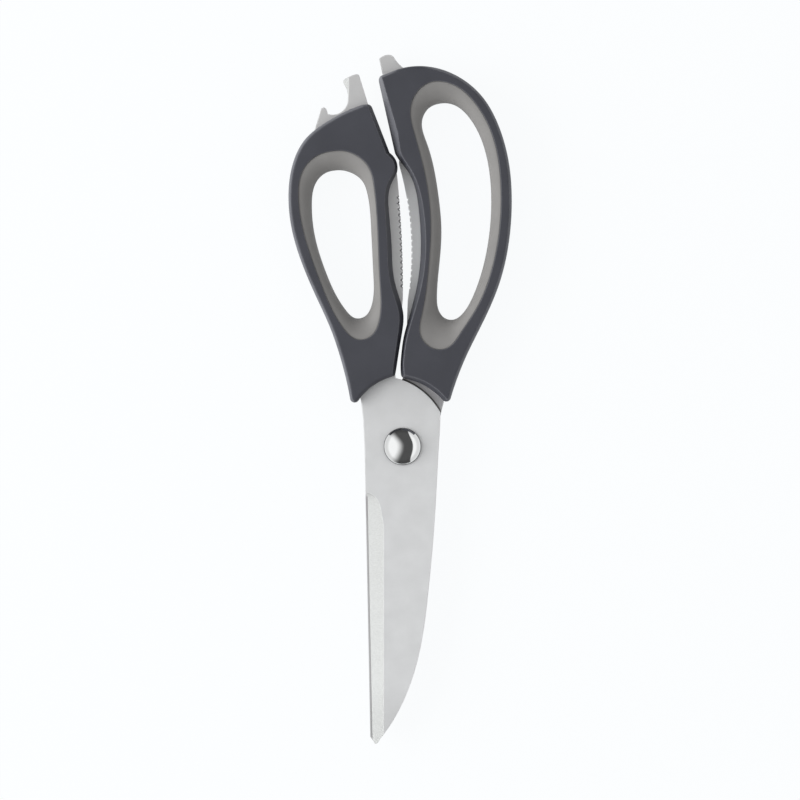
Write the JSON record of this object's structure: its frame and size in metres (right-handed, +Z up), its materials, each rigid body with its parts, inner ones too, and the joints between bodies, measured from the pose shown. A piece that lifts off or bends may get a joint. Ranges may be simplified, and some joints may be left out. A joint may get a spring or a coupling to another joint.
{
  "type": "kitchen shears",
  "caption": "Kitchen shears with offset finger loops and soft liners, serrated jaws behind the pivot, a bottle opener and a lid lifter.",
  "frame": {"origin": "on the table, in the middle of the closed shears' footprint", "axes": "+Y from the blade tips to the handles, +Z up from the table, out of the face with the domed pivot head"},
  "size_m": [0.0792, 0.2451, 0.013],
  "materials": {
    "blade_steel": "satin",
    "pivot_steel": "polished",
    "washer_steel": "plain spring steel",
    "handle_plastic": "fine matt",
    "grip_rubber": "soft matt"
  },
  "bodies": {
    "finger_half": {"rear_blade": "blade_steel", "finger_handle": "handle_plastic", "finger_grip": "grip_rubber", "pivot_bolt": "pivot_steel", "spring_washer": "washer_steel", "pivot_nut": "pivot_steel"},
    "thumb_half": {"front_blade": "blade_steel", "thumb_handle": "handle_plastic", "thumb_grip": "grip_rubber"}
  },
  "joints": [
    {"name": "blade_pivot", "type": "hinge", "parent": "finger_half", "child": "thumb_half", "pos_m": [0.0008, -0.01675, 0.0065], "axis": [0, 0, 1], "range_deg": [0, 70]}
  ]
}
